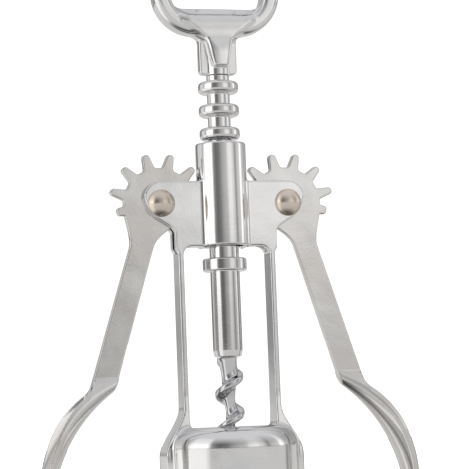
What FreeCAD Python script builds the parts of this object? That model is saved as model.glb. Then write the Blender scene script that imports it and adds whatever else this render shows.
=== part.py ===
import FreeCAD, Part
import Sketcher
import math
import os

# A wing corkscrew. +Z is up along the screw, the front faces -Y, and the origin is at the
# middle of the bell's rim, which is the face that it stands on. Lengths are in millimetres.

V = FreeCAD.Vector
LEFT, RIGHT = -1, 1
SIDES = (("left", LEFT), ("right", RIGHT))
FACING_FRONT = FreeCAD.Rotation(V(1, 0, 0), 90)
UPRIGHT = FreeCAD.Rotation()

DRIVING_SIZES = {
    # The bell that sits on the bottle's neck.
    "bell_radius": 17.4,
    "bell_height": 40.0,
    "bell_bore_radius": 15.5,
    "shoulder_radius": 5.0,
    "seat_height": 36.5,
    "top_hole_radius": 11.9,
    "socket_radius": 15.8,
    "socket_depth": 16.0,
    "rib_reach": 18.75,
    "rib_half_depth": 4.2,
    # The two legs and the yoke that carries the levers.
    "leg_inner": 11.9,
    "leg_outer": 13.4,
    "leg_foot_height": 46.0,
    "leg_top_height": 86.0,
    "casting_half_depth": 3.1,
    "leg_edge_radius": 0.5,
    "window_top": 88.0,
    "window_corner": 2.2,
    "yoke_top": 105.5,
    "pivot_out": 17.5,
    "pivot_height": 99.5,
    "slot_radius": 14.0,
    "slot_half_depth": 1.3,
    "barrel_radius": 6.8,
    "barrel_bore_radius": 5.53,
    "barrel_bottom": 87.7,
    "barrel_top": 115.8,
    # Rivets.
    "rivet_radius": 2.0,
    "rivet_head_radius": 3.75,
    "rivet_head_rise": 2.2,
    # The gear levers.
    "running_clearance": 0.05,
    "lever_thickness": 2.2,
    "hub_radius": 6.8,
    "gear_root_radius": 9.75,
    "gear_tip_radius": 13.7,
    "tooth_root_half": 1.5,
    "tooth_shoulder_half": 0.95,
    "tooth_tip_arc": 0.97,
    "tooth_count": 7,
    "tooth_step": 30.0,
    "arm_angle": 17.4,
    "arm_width": 6.3,
    "arm_offset": 1.6,
    "arm_reach": 60.0,
    "heel_reach": 11.4,
    "heel_arc": 8.0,
    "heel_low_out": 7.6,
    "heel_low_drop": 8.7,
    # The blade: a leaf-shaped scoop whose ridge is an arc about a far centre.
    "ridge_radius": 42.0,
    "ridge_centre_out": -10.3,
    "ridge_centre_drop": 83.6,
    "blade_thickness": 1.6,
    "scoop_radius": 7.5,
    "scoop_half_angle": 55.0,
    "blade_root_half": 1.1,
    "blade_root_drop": 46.0,
    "blade_half_width": 5.7,
    "blade_widest_drop": 63.0,
    "blade_tip_half": 2.0,
    "blade_tip_drop": 80.0,
    "blade_tip_arc": 2.3,
    # The rack, which slides in the barrel.
    "ring_radius": 5.45,
    "ring_half_height": 1.6,
    "ring_chamfer": 0.8,
    "ring_count": 7,
    "rack_core_radius": 3.07,
    "rack_stem_radius": 3.95,
    "rack_bore_radius": 2.08,
    "rack_top": 134.2,
    "rack_bottom": 58.5,
    "collar_radius": 5.9,
    "collar_bottom": 81.3,
    "collar_top": 84.8,
    # The screw and its head.
    "shank_radius": 2.03,
    "flange_radius": 3.85,
    "worm_pitch": 9.6,
    "worm_tip": 20.0,
    "worm_point_top": 30.0,
    "worm_core_radius": 2.1,
    "worm_core_tip_radius": 0.9,
    "thread_root_half": 1.9,
    "thread_edge_half": 0.5,
    "head_bottom": 145.1,
    "head_top": 177.0,
    "head_half_width": 17.5,
    "head_half_depth": 3.4,
    "head_rim": 4.6,
    "loop_bottom": 152.4,
    "loop_corner": 2.6,
    "lip_half_depth": 1.1,
    "lip_root": 149.6,
    "neck_bottom": 134.35,
    "neck_radius": 5.35,
    "fin_half_depth": 1.5,
    "fin_corner": 1.6,
    "tongue_bottom": 136.4,
    "tongue_tip_half": 1.95,
    "tongue_root_half": 3.95,
}


class Size:
    """A length or angle, known both as a number and as the expression that gives it."""

    def __init__(self, value, text):
        self.value = value
        self.text = text

    def __add__(self, other):
        other = as_size(other)
        return Size(self.value + other.value, "(%s + %s)" % (self.text, other.text))

    def __sub__(self, other):
        other = as_size(other)
        return Size(self.value - other.value, "(%s - %s)" % (self.text, other.text))

    def __mul__(self, other):
        other = as_size(other)
        return Size(self.value * other.value, "(%s * %s)" % (self.text, other.text))

    def __truediv__(self, other):
        other = as_size(other)
        return Size(self.value / other.value, "(%s / %s)" % (self.text, other.text))

    def __neg__(self):
        return Size(-self.value, "(-1 * %s)" % self.text)


def as_size(number):
    """A plain number as a size, and a size as it is."""
    if isinstance(number, Size):
        return number
    return Size(float(number), "%.6f" % number)


class Named:
    """Holds each driving size under its own name."""


doc = FreeCAD.newDocument("lever_corkscrew")
sheet = doc.addObject("Spreadsheet::Sheet", "sizes")
s = Named()
for row, (alias, value) in enumerate(DRIVING_SIZES.items(), start=1):
    sheet.set("A%d" % row, alias)
    sheet.set("B%d" % row, str(value))
    sheet.setAlias("B%d" % row, alias)
    setattr(s, alias, Size(value, "sizes.%s" % alias))
doc.recompute()

# The ring pitch of the rack is the gear's pitch, so that both stay in mesh.
pitch_radius = s.pivot_out - (s.ring_radius + 0.05)
ring_pitch = pitch_radius * s.tooth_step * (math.pi / 180.0)


def bind(item, sizes):
    """Ties properties of an object to sizes on the sheet."""
    for path, size in sizes.items():
        item.setExpression(path, as_size(size).text)


def place(item, at, turn=UPRIGHT):
    """Puts an object at a corner or centre whose coordinates follow the sheet."""
    at = [as_size(value) for value in at]
    item.Placement = FreeCAD.Placement(V(at[0].value, at[1].value, at[2].value), turn)
    bind(item, {"Placement.Base.x": at[0], "Placement.Base.y": at[1], "Placement.Base.z": at[2]})
    return item


def primitive(kind, name, sizes, at, turn=UPRIGHT):
    """A Part primitive with its sizes and its place bound to the sheet."""
    item = doc.addObject("Part::" + kind, name)
    bind(item, sizes)
    return place(item, at, turn)


def block(name, low, high):
    """A box from its low corner to its high corner."""
    low = [as_size(value) for value in low]
    high = [as_size(value) for value in high]
    spans = {"Length": high[0] - low[0], "Width": high[1] - low[1], "Height": high[2] - low[2]}
    return primitive("Box", name, spans, low)


def post(name, radius, low, high, out=0.0):
    """An upright cylinder between two heights."""
    return primitive("Cylinder", name, {"Radius": radius, "Height": as_size(high) - low}, (out, 0, low))


def crosswise(name, radius, half_depth, out, height):
    """A cylinder that lies from front to back."""
    sizes = {"Radius": radius, "Height": as_size(half_depth) * 2}
    return primitive("Cylinder", name, sizes, (out, half_depth, height), FACING_FRONT)


def fuse(name, *items):
    """All the items as one solid."""
    result = doc.addObject("Part::MultiFuse", name)
    result.Shapes = list(items)
    result.Refine = True
    return result


def common(name, *items):
    """What all the items share."""
    result = doc.addObject("Part::MultiCommon", name)
    result.Shapes = list(items)
    return result


def cut(name, base, *tools):
    """The base without the tools."""
    for number, tool in enumerate(tools, start=1):
        result = doc.addObject("Part::Cut", name if number == len(tools) else "%s_cut%d" % (name, number))
        result.Base = base
        result.Tool = tool
        base = result
    return result


def arc_between(start, end, radius):
    """The short arc from start to end, its centre on the left if radius is positive, else on the right."""
    chord = end - start
    half = chord.Length / 2.0
    side = V(-chord.y, chord.x, 0).normalize() * math.copysign(1.0, radius)
    centre = start + chord * 0.5 + side * math.sqrt(radius * radius - half * half)
    first, last = (start, end) if radius > 0 else (end, start)
    first_angle = math.atan2(first.y - centre.y, first.x - centre.x)
    last_angle = math.atan2(last.y - centre.y, last.x - centre.x)
    if last_angle < first_angle:
        last_angle += 2 * math.pi
    return Part.ArcOfCircle(Part.Circle(centre, V(0, 0, 1), abs(radius)), first_angle, last_angle)


def arc_radius(sideways, upwards):
    """The radius of an arc that starts upright and ends sideways and upwards of its start."""
    return (sideways * sideways + upwards * upwards) / (sideways * 2)


def outline(sketch, corners):
    """A closed loop through corners (across, up), or (across, up, radius) where an arc starts.

    A positive radius has its centre on the left of the way round, a negative one on the right.
    Every corner and radius is a constraint that follows the sheet."""
    corners = [tuple(as_size(value) for value in corner) for corner in corners]
    sides = []
    for number, corner in enumerate(corners):
        following = corners[(number + 1) % len(corners)]
        start = V(corner[0].value, corner[1].value, 0)
        end = V(following[0].value, following[1].value, 0)
        if len(corner) == 3:
            bend = corner[2].value
            index = sketch.addGeometry(arc_between(start, end, bend), False)
            sides.append((index, 1, 2) if bend > 0 else (index, 2, 1))
        else:
            index = sketch.addGeometry(Part.LineSegment(start, end), False)
            sides.append((index, 1, 2))
    for number, (index, start_point, end_point) in enumerate(sides):
        corner = corners[number]
        after = sides[(number + 1) % len(sides)]
        sketch.addConstraint(Sketcher.Constraint("Coincident", index, end_point, after[0], after[1]))
        for kind, size in (("DistanceX", corner[0]), ("DistanceY", corner[1])):
            held = sketch.addConstraint(Sketcher.Constraint(kind, -1, 1, index, start_point, size.value))
            sketch.setExpression("Constraints[%d]" % held, size.text)
        if len(corner) == 3:
            size = corner[2] if corner[2].value > 0 else -corner[2]
            held = sketch.addConstraint(Sketcher.Constraint("Radius", index, size.value))
            sketch.setExpression("Constraints[%d]" % held, size.text)


def new_body(name):
    return doc.addObject("PartDesign::Body", name)


def body_sketch(body, name, plane, *loops):
    """A sketch of closed loops on one of the body's own planes."""
    sketch = body.newObject("Sketcher::SketchObject", name)
    for feature in body.Origin.OriginFeatures:
        if feature.Role == plane:
            sketch.AttachmentSupport = [(feature, "")]
    sketch.MapMode = "FlatFace"
    for loop in loops:
        outline(sketch, loop)
    return sketch


def turned(body, name, *loops):
    """Loops drawn as (radius, height) and turned about the body's Z axis."""
    sketch = body_sketch(body, name + "_outline", "XZ_Plane", *loops)
    feature = body.newObject("PartDesign::Revolution", name)
    feature.Profile = sketch
    feature.ReferenceAxis = (sketch, ["V_Axis"])
    feature.Angle = 360.0
    return feature


def padded(body, name, plane, depth, *loops):
    """Loops thickened equally to both sides of their plane."""
    sketch = body_sketch(body, name + "_outline", plane, *loops)
    feature = body.newObject("PartDesign::Pad", name)
    feature.Profile = sketch
    feature.SideType = "Symmetric"
    bind(feature, {"Length": depth})
    return feature


def mirrored(corners):
    """The same loop on the other side of the middle plane, still going the same way round."""
    flipped = []
    count = len(corners)
    for number in range(count):
        corner = corners[-number]
        before = corners[-number - 1]
        point = (-as_size(corner[0]), corner[1])
        flipped.append(point + (before[2],) if len(before) == 3 else point)
    return flipped


def rounded_edges(name, base, radius, wanted):
    """A Part fillet on the edges for which wanted(edge) holds."""
    doc.recompute()
    result = doc.addObject("Part::Fillet", name)
    result.Base = base
    result.Edges = [
        (number, radius.value, radius.value)
        for number, edge in enumerate(base.Shape.Edges, start=1)
        if wanted(edge)
    ]
    return result


def is_upright(edge):
    first, last = edge.Vertexes[0].Point, edge.Vertexes[-1].Point
    return abs(first.x - last.x) < 1e-6 and abs(first.y - last.y) < 1e-6


def make_bell():
    """The bell: a turned shell with a domed shoulder, a rib down each side and the feet of the legs."""
    body = new_body("bell")
    shoulder_start = s.bell_height - s.shoulder_radius
    turned(body, "bell_shell", [
        (s.socket_radius, 0),
        (s.bell_radius, 0),
        (s.bell_radius, shoulder_start, s.shoulder_radius),
        (s.bell_radius - s.shoulder_radius, s.bell_height),
        (s.top_hole_radius, s.bell_height),
        (s.top_hole_radius, s.seat_height),
        (s.bell_bore_radius, s.seat_height),
        (s.bell_bore_radius, s.socket_depth),
        (s.socket_radius, s.socket_depth),
    ])
    rib_inner = s.bell_radius - 0.8
    rib_top = s.bell_height - s.shoulder_radius
    rib = [
        (rib_inner, 0),
        (s.rib_reach, 0),
        (s.rib_reach, rib_top),
        (rib_inner, rib_top),
    ]
    padded(body, "ribs", "XZ_Plane", s.rib_half_depth * 2, rib, mirrored(rib))
    foot_inside = s.seat_height + 2.0
    foot = [
        (s.leg_inner, foot_inside),
        (rib_inner, foot_inside),
        (rib_inner, rib_top),
        (s.rib_reach, rib_top, 7.0),
        (s.leg_outer + 2.2, s.bell_height, -9.0),
        (s.leg_outer, s.leg_foot_height),
        (s.leg_inner, s.leg_foot_height),
    ]
    padded(body, "leg_feet", "XZ_Plane", s.casting_half_depth * 2, foot, mirrored(foot))
    return body


def make_leg(name, side):
    """One of the two flat legs that stand on the bell and carry the yoke."""
    inner, outer = (s.leg_inner, s.leg_outer) if side == RIGHT else (-s.leg_outer, -s.leg_inner)
    bar = block(
        name + "_bar",
        (inner, -s.casting_half_depth, s.leg_foot_height),
        (outer, s.casting_half_depth, s.leg_top_height),
    )
    return rounded_edges(name, bar, s.leg_edge_radius, is_upright)


def make_yoke():
    """The barrel that guides the rack, with the two pierced plates on each side that hold the levers."""
    body = new_body("yoke_plate")
    end_radius = s.yoke_top - s.pivot_height
    corner_out = s.leg_inner - s.window_corner
    right_half = [
        (s.pivot_out - 1.4, s.yoke_top),
        (s.pivot_out + end_radius - 1.4, s.pivot_height),
        (s.pivot_out - 0.6, s.pivot_height - 4.7),
        (s.leg_outer, s.window_top + 5.4),
        (s.leg_outer, s.leg_top_height),
        (s.leg_inner, s.leg_top_height),
        (corner_out, s.window_top),
    ]
    left_half = [(-x, z) for x, z in right_half]
    # The loop runs clockwise: along the top, round the right end, under the window, up the left.
    rounded_end = -end_radius - 0.2
    lower_end = -5.2
    window_bend = s.window_corner + 0.05
    loop = [
        left_half[0],
        right_half[0] + (rounded_end,),
        right_half[1] + (as_size(lower_end),),
        right_half[2],
        right_half[3],
        right_half[4],
        right_half[5] + (window_bend,),
        right_half[6],
        left_half[6] + (window_bend,),
        left_half[5],
        left_half[4],
        left_half[3],
        left_half[2] + (as_size(lower_end),),
        left_half[1] + (rounded_end,),
    ]
    padded(body, "yoke_slab", "XZ_Plane", s.casting_half_depth * 2, loop)
    barrel = post("barrel", s.barrel_radius, s.barrel_bottom, s.barrel_top)
    casting = fuse("yoke_casting", body, barrel)
    openings = [post("barrel_bore", s.barrel_bore_radius, s.barrel_bottom - 5, s.barrel_top + 5)]
    for side_name, side in SIDES:
        out = s.pivot_out * side
        openings.append(crosswise(side_name + "_gear_slot", s.slot_radius, s.slot_half_depth, out, s.pivot_height))
        depth = s.casting_half_depth + 5
        openings.append(crosswise(side_name + "_rivet_hole", s.rivet_radius, depth, out, s.pivot_height))
    return cut("yoke", casting, *openings)


def make_rivet(name, side):
    """A rivet through both yoke plates, with a domed head front and back."""
    rise = s.rivet_head_rise
    dome_radius = (s.rivet_head_radius * s.rivet_head_radius + rise * rise) / (rise * 2)
    plane = s.casting_half_depth
    shank = crosswise(name + "_shank", s.rivet_radius, plane, 0, 0)
    heads = []
    for face_name, turn, outward in (("front", 90, -1), ("back", -90, 1)):
        ball_at = (0, (plane + rise - dome_radius) * outward, 0)
        ball = primitive("Sphere", "%s_%s_ball" % (name, face_name), {"Radius": dome_radius}, ball_at)
        cap_at = (0, plane * outward, 0)
        cap_sizes = {"Radius": s.rivet_head_radius + 1, "Height": rise + 1}
        facing = FreeCAD.Rotation(V(1, 0, 0), turn)
        cap = primitive("Cylinder", "%s_%s_cap" % (name, face_name), cap_sizes, cap_at, facing)
        heads.append(common("%s_%s_head" % (name, face_name), ball, cap))
    rivet = fuse(name, shank, *heads)
    return place(rivet, (s.pivot_out * side, 0, s.pivot_height))


def make_gear(name):
    """The toothed end of a lever, centred on its pivot: a root disc with a fan of equal teeth."""
    body = new_body(name)
    tooth_base = s.gear_root_radius - 0.6
    tooth_shoulder = s.gear_tip_radius - 0.8
    tooth = padded(body, name + "_tooth", "XZ_Plane", s.lever_thickness, [
        (tooth_base, -s.tooth_root_half),
        (tooth_shoulder, -s.tooth_shoulder_half, s.tooth_tip_arc),
        (tooth_shoulder, s.tooth_shoulder_half),
        (tooth_base, s.tooth_root_half),
    ])
    doc.recompute()
    pattern = body.newObject("PartDesign::PolarPattern", name + "_teeth")
    pattern.Originals = [tooth]
    pattern.Axis = (tooth.Profile[0], ["N_Axis"])
    bind(pattern, {"Angle": s.tooth_step * (s.tooth_count - 1), "Occurrences": s.tooth_count})
    body.Tip = pattern
    return body


def make_lever(name, side):
    """A gear lever, drawn as the left one about its own pivot and turned half round for the right one.

    The gear's teeth start half a step below the line to the screw. The arm is flat, and the blade
    at its end stands across it and bends outwards."""
    half = s.lever_thickness / 2
    teeth_turn = -s.tooth_step / 2
    gear = make_gear(name + "_gear")
    gear.Placement = FreeCAD.Placement(V(0, 0, 0), FreeCAD.Rotation(V(0, -1, 0), teeth_turn.value))

    disc_start = FreeCAD.Rotation(V(0, 0, 1), -25)
    root = primitive(
        "Cylinder", name + "_root_disc",
        {"Radius": s.gear_root_radius, "Height": s.lever_thickness, "Angle": 225},
        (0, half, 0), FACING_FRONT.multiply(disc_start),
    )
    hub = crosswise(name + "_hub", s.hub_radius, half, 0, 0)

    # Below the last tooth a short heel closes the fan and runs back to the arm.
    heel = new_body(name + "_heel")
    padded(heel, name + "_heel_pad", "XZ_Plane", s.lever_thickness, [
        (-s.gear_root_radius + 0.3, -0.3),
        (-s.heel_reach, -1.5),
        (-s.heel_reach - 0.1, -2.5, -s.heel_arc),
        (-s.heel_low_out, -s.heel_low_drop),
        (-3, -8),
        (-2, -1),
    ])

    tilt = math.radians(s.arm_angle.value)
    arm_turn = FreeCAD.Rotation(V(0, 1, 0), 180 + s.arm_angle.value)
    inner_edge = s.arm_width / 2 - s.arm_offset
    edge_out, edge_drop = inner_edge * math.cos(tilt), -inner_edge * math.sin(tilt)
    arm_bar = primitive(
        "Box", name + "_arm_bar",
        {"Length": s.arm_width, "Width": s.lever_thickness, "Height": s.arm_reach},
        (edge_out, -half, edge_drop), arm_turn,
    )
    # The arm runs into the hollow of the scoop and ends halfway through its wall.
    ridge_at = (-s.ridge_centre_out, -s.ridge_centre_drop)
    trimmer = crosswise(name + "_arm_trimmer", s.ridge_radius + s.blade_thickness / 2, 20, *ridge_at)
    arm = cut(name + "_arm", arm_bar, trimmer)

    ring = new_body(name + "_scoop_ring")
    scoop_middle = s.ridge_radius + s.scoop_radius
    across, along = math.cos(math.radians(s.scoop_half_angle.value)), math.sin(math.radians(s.scoop_half_angle.value))
    hollow_radius = s.scoop_radius - s.blade_thickness
    turned(ring, name + "_scoop", [
        (scoop_middle - s.scoop_radius * across, -s.scoop_radius * along, -s.scoop_radius),
        (scoop_middle - s.scoop_radius * across, s.scoop_radius * along),
        (scoop_middle - hollow_radius * across, hollow_radius * along, hollow_radius),
        (scoop_middle - hollow_radius * across, -hollow_radius * along),
    ])
    place(ring, (ridge_at[0], 0, ridge_at[1]), FACING_FRONT)

    leaf = new_body(name + "_blade_leaf")
    root_drop, tip_drop = s.blade_root_drop, s.blade_tip_drop
    upper_arc = arc_radius(s.blade_half_width - s.blade_root_half, s.blade_widest_drop - root_drop)
    lower_arc = arc_radius(s.blade_half_width - s.blade_tip_half, tip_drop - s.blade_widest_drop)
    padded(leaf, name + "_blade_leaf_pad", "YZ_Plane", 90, [
        (s.blade_half_width, -s.blade_widest_drop, upper_arc),
        (s.blade_root_half, -root_drop),
        (-s.blade_root_half, -root_drop, upper_arc),
        (-s.blade_half_width, -s.blade_widest_drop, lower_arc),
        (-s.blade_tip_half, -tip_drop, s.blade_tip_arc),
        (s.blade_tip_half, -tip_drop, lower_arc),
    ])
    room = primitive(
        "Box", name + "_blade_room", {"Length": 60, "Width": 40, "Height": 110},
        (edge_out, -20, edge_drop), arm_turn,
    )
    blade = common(name + "_blade", ring, leaf, room)

    whole = fuse(name + "_whole", gear, root, hub, heel, arm, blade)
    bore = crosswise(name + "_bore", s.rivet_radius + s.running_clearance, 20, 0, 0)
    lever = cut(name, whole, bore)
    half_turn = FreeCAD.Rotation(V(0, 0, 1), 0 if side == LEFT else 180)
    return place(lever, (s.pivot_out * side, 0, s.pivot_height), half_turn)


def make_rack():
    """The rack: a tube whose rings are the rack's teeth, with a plain stem below that carries the collar."""
    body = new_body("rack_spindle")
    first_ring = s.pivot_height - ring_pitch
    stem_top = first_ring - s.ring_half_height
    tube = turned(body, "rack_tube", [
        (s.rack_bore_radius, s.rack_bottom),
        (s.rack_stem_radius, s.rack_bottom),
        (s.rack_stem_radius, stem_top),
        (s.rack_core_radius, stem_top),
        (s.rack_core_radius, s.rack_top),
        (s.rack_bore_radius, s.rack_top),
    ])
    inside = s.rack_core_radius - 0.4
    shoulder = s.ring_radius - s.ring_chamfer
    flank = s.ring_half_height - s.ring_chamfer
    ring = turned(body, "rack_ring", [
        (inside, first_ring - s.ring_half_height),
        (shoulder, first_ring - s.ring_half_height),
        (s.ring_radius, first_ring - flank),
        (s.ring_radius, first_ring + flank),
        (shoulder, first_ring + s.ring_half_height),
        (inside, first_ring + s.ring_half_height),
    ])
    doc.recompute()
    pattern = body.newObject("PartDesign::LinearPattern", "rack_rings")
    pattern.Originals = [ring]
    pattern.Direction = (tube.Profile[0], ["V_Axis"])
    bind(pattern, {"Length": ring_pitch * (s.ring_count - 1), "Occurrences": s.ring_count})
    body.Tip = pattern
    return body


def make_collar():
    """The stop collar on the stem, a little wider than the barrel's bore, which limits the upward travel."""
    disc = post("collar_disc", s.collar_radius, s.collar_bottom, s.collar_top)
    hole = post("collar_hole", s.rack_stem_radius, s.collar_bottom - 1, s.collar_top + 1)
    return cut("stop_collar", disc, hole)


def make_head():
    """The head: a loop to turn the screw by, with a cap lifter's lip, on a neck with two fins and tongues."""
    loop_body = new_body("head_loop")
    width, rim = s.head_half_width, s.head_rim
    bottom_bend, top_bend = 11.5, 13.5
    side_low, side_high = s.head_bottom + bottom_bend, s.head_top - top_bend
    outer = [
        (-(width - bottom_bend), s.head_bottom),
        (width - bottom_bend, s.head_bottom, bottom_bend),
        (width, side_low),
        (width, side_high, top_bend),
        (width - top_bend, s.head_top),
        (-(width - top_bend), s.head_top, top_bend),
        (-width, side_high),
        (-width, side_low, bottom_bend),
    ]
    inside, corner = width - rim, s.loop_corner
    inner_bend = top_bend - rim.value
    hole = [
        (-(inside - corner), s.loop_bottom),
        (inside - corner, s.loop_bottom, corner),
        (inside, s.loop_bottom + corner),
        (inside, side_high, inner_bend),
        (inside - inner_bend, side_high + inner_bend),
        (-(inside - inner_bend), side_high + inner_bend, inner_bend),
        (-inside, side_high),
        (-inside, s.loop_bottom + corner, corner),
    ]
    padded(loop_body, "head_loop_pad", "XZ_Plane", s.head_half_depth * 2, outer, hole)

    lip_out = inside - 0.8
    lip_reliefs = [
        block("lip_relief_front", (-lip_out, -10, s.lip_root), (lip_out, -s.lip_half_depth, s.loop_bottom + 1)),
        block("lip_relief_back", (-lip_out, s.lip_half_depth, s.lip_root), (lip_out, 10, s.loop_bottom + 1)),
    ]
    loop = cut("head_loop_lipped", loop_body, *lip_reliefs)

    neck_top = s.head_bottom + 1.5
    tongue_body = new_body("neck_tongues")
    padded(tongue_body, "neck_tongues_pad", "XZ_Plane", s.neck_radius * 2, [
        (-s.tongue_tip_half, s.tongue_bottom),
        (s.tongue_tip_half, s.tongue_bottom),
        (s.tongue_root_half, s.head_bottom),
        (s.tongue_root_half, neck_top),
        (-s.tongue_root_half, neck_top),
        (-s.tongue_root_half, s.head_bottom),
    ])
    fins = new_body("neck_fins")
    fin_side, fin_corner = s.neck_radius, s.fin_corner
    padded(fins, "neck_fins_pad", "XZ_Plane", s.fin_half_depth * 2, [
        (-(fin_side - fin_corner), s.neck_bottom),
        (fin_side - fin_corner, s.neck_bottom, fin_corner),
        (fin_side, s.neck_bottom + fin_corner),
        (fin_side, neck_top),
        (-fin_side, neck_top),
        (-fin_side, s.neck_bottom + fin_corner, fin_corner),
    ])
    boss = post("neck_boss", s.rack_core_radius, s.neck_bottom, neck_top)
    envelope = post("neck_envelope", s.neck_radius, s.neck_bottom, neck_top)
    neck = common("neck", fuse("neck_cross", tongue_body, fins, boss), envelope)
    socket = post("head_socket", s.shank_radius, s.neck_bottom - 1, s.head_bottom + 3)
    return cut("head", fuse("head_solid", loop, neck), socket)


def make_worm():
    """The worm: a long shank through the rack into the head, and a right-handed auger with a tapered core."""
    body = new_body("worm_auger")
    shank_bottom = s.rack_bottom - 0.15
    turned(body, "worm_core", [
        (0, s.worm_tip),
        (s.worm_core_tip_radius * 0.3, s.worm_tip),
        (s.worm_core_tip_radius, s.worm_point_top),
        (s.worm_core_radius, shank_bottom - 6),
        (s.flange_radius - 0.6, shank_bottom - 1.5),
        (s.flange_radius - 0.6, shank_bottom),
        (s.shank_radius, shank_bottom),
        (s.shank_radius, s.head_bottom + 3),
        (0, s.head_bottom + 3),
    ])
    thread_low = s.worm_tip + 2.0
    thread_root = 0.5
    profile = body_sketch(body, "thread_outline", "XZ_Plane", [
        (thread_root, thread_low - s.thread_root_half),
        (s.flange_radius, thread_low - s.thread_edge_half),
        (s.flange_radius, thread_low + s.thread_edge_half),
        (thread_root, thread_low + s.thread_root_half),
    ])
    thread = body.newObject("PartDesign::AdditiveHelix", "thread")
    thread.Profile = profile
    thread.ReferenceAxis = (profile, ["V_Axis"])
    thread.Mode = "pitch-height-angle"
    bind(thread, {"Pitch": s.worm_pitch, "Height": shank_bottom - 3.2 - thread_low})
    thread.Angle = 0.0
    thread.Growth = 0.0
    thread.LeftHanded = False
    thread.Reversed = False

    cone_sizes = {"Radius1": 0.3, "Radius2": s.flange_radius + 0.02, "Height": s.worm_point_top - s.worm_tip}
    point = primitive("Cone", "worm_point", cone_sizes, (0, 0, s.worm_tip))
    above = post("worm_room", s.flange_radius + 0.02, s.worm_point_top, s.head_top)
    return common("worm", body, fuse("worm_envelope", point, above))


sub_parts = [make_bell(), make_yoke(), make_rack(), make_collar(), make_head(), make_worm()]
for side_name, side in SIDES:
    sub_parts.append(make_leg(side_name + "_leg", side))
    sub_parts.append(make_rivet(side_name + "_rivet", side))
    sub_parts.append(make_lever(side_name + "_lever", side))

doc.recompute()

for item in doc.Objects:
    if "Invalid" in item.State or "Error" in item.State:
        raise SystemExit("%s did not build: %s" % (item.Label, item.State))
for item in sub_parts:
    if item.Shape.isNull() or not item.Shape.isValid():
        raise SystemExit("%s has no valid shape" % item.Label)

os.makedirs("parts", exist_ok=True)
for item in sub_parts:
    shape = item.Shape
    box = shape.BoundBox
    print("%-14s %8.1f mm3  %d solid  x %.1f..%.1f  y %.1f..%.1f  z %.1f..%.1f" % (
        item.Label, shape.Volume, len(shape.Solids),
        box.XMin, box.XMax, box.YMin, box.YMax, box.ZMin, box.ZMax))
    shape.exportStep("parts/%s.step" % item.Label)
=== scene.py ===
import math

import bpy
import numpy as np
from mathutils import Matrix, Vector


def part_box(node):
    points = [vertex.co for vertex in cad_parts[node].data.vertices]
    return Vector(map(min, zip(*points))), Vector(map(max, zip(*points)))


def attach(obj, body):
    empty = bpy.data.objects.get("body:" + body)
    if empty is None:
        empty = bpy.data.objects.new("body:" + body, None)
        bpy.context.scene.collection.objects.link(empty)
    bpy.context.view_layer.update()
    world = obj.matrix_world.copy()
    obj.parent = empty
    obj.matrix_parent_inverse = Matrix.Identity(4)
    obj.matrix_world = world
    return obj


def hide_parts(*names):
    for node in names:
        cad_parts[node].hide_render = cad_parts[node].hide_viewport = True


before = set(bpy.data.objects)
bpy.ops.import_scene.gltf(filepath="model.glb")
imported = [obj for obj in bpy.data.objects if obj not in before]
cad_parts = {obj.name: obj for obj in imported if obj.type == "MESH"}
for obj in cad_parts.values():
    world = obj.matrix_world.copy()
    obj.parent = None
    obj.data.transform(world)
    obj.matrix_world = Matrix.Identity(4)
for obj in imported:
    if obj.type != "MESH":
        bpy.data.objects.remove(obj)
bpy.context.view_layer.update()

# The chrome-plated castings are modelled as distance fields, in millimetres, with the rounded
# inside corners that a casting has, and then meshed. Turned pieces are lathed. Places and overall
# sizes come from the frame; the sizes named below are the details that the frame doesn't hold.

MM = 0.001


def span(node):
    """The lowest and highest corner of a CAD node, in millimetres."""
    low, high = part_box(node)
    return np.array(low) / MM, np.array(high) / MM


BELL_LOW, BELL_HIGH = span("bell")
LEG_LOW, LEG_HIGH = span("right_leg")
YOKE_LOW, YOKE_HIGH = span("yoke")
RACK_LOW, RACK_HIGH = span("rack_spindle")
COLLAR_LOW, COLLAR_HIGH = span("stop_collar")
HEAD_LOW, HEAD_HIGH = span("head")
RIVET_LOW, RIVET_HIGH = span("right_rivet")
WORM_LOW = span("worm")[0]

PIVOT_OUT = (RIVET_LOW[0] + RIVET_HIGH[0]) / 2
PIVOT_HEIGHT = (RIVET_LOW[2] + RIVET_HIGH[2]) / 2
LEG_INNER, LEG_OUTER = LEG_LOW[0], LEG_HIGH[0]
CASTING_HALF_DEPTH = LEG_HIGH[1]


# ---------------------------------------------------------------------------
# Distance fields
# ---------------------------------------------------------------------------

def join(a, b, bend):
    """Both shapes, with a round fillet of radius bend where they meet."""
    corner = np.hypot(np.maximum(bend - a, 0), np.maximum(bend - b, 0))
    return np.maximum(bend, np.minimum(a, b)) - corner


def meet(a, b, bend):
    """What both shapes share, with its edge rounded to radius bend."""
    return -join(-a, -b, bend)


def carve(a, b, bend):
    """The first shape without the second, with the edge rounded."""
    return meet(a, -b, bend)


def panel(a, b, half_a, half_b, bend):
    """A rectangle with rounded corners, about the origin of a and b."""
    over_a = np.abs(a) - half_a + bend
    over_b = np.abs(b) - half_b + bend
    outside = np.hypot(np.maximum(over_a, 0), np.maximum(over_b, 0))
    return outside + np.minimum(np.maximum(over_a, over_b), 0) - bend


def ramp(value, start, end):
    """0 before start, 1 after end, and smooth between."""
    part = np.clip((value - start) / (end - start), 0, 1)
    return part * part * (3 - 2 * part)


def gradient(field, points):
    """Which way the distance grows fastest, at each point."""
    nudge = 0.02
    slope = np.empty_like(points)
    for axis in range(3):
        ahead, behind = points.copy(), points.copy()
        ahead[:, axis] += nudge
        behind[:, axis] -= nudge
        slope[:, axis] = (field(*ahead.T) - field(*behind.T)) / (2 * nudge)
    return slope


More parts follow.
